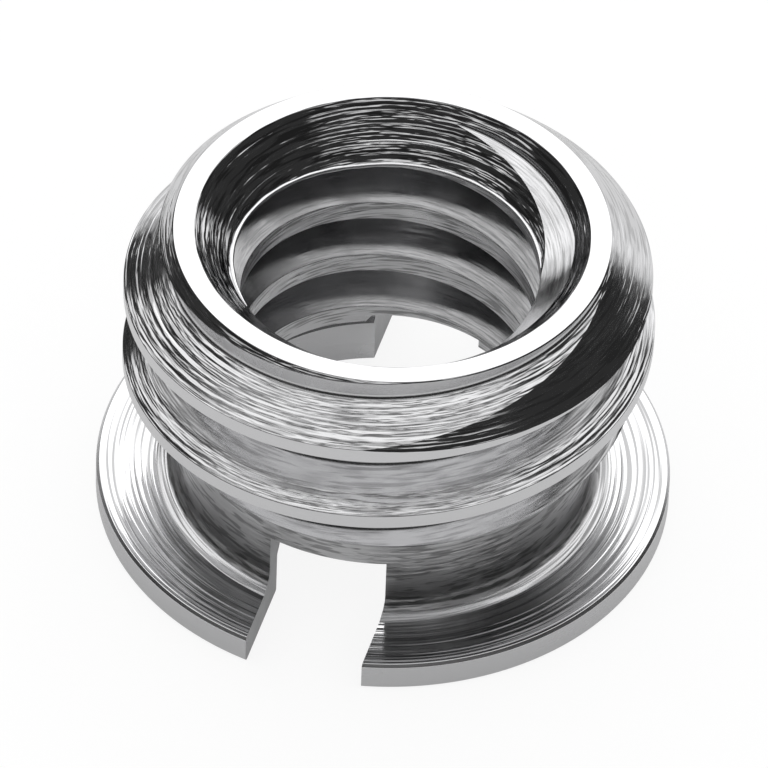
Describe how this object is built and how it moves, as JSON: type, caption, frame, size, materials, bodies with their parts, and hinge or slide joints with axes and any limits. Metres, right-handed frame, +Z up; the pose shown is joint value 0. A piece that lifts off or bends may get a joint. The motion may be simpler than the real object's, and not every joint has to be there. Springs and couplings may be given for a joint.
{
  "type": "tripod thread adapter",
  "caption": "Flanged threaded bushing that reduces a large tripod socket to a smaller camera screw, with a driver slot across its flange.",
  "frame": {"origin": "centre of the flange's underside, on the bore's axis", "axes": "+Z up the bore's axis from the flange to the threaded end, Y along the driver slot"},
  "size_m": [0.0102, 0.01, 0.0063],
  "materials": {
    "plated_metal": "bright nickel plate over turned metal, with fine turning marks"
  },
  "bodies": {
    "root": {"thread_adapter": "plated_metal"}
  },
  "joints": []
}
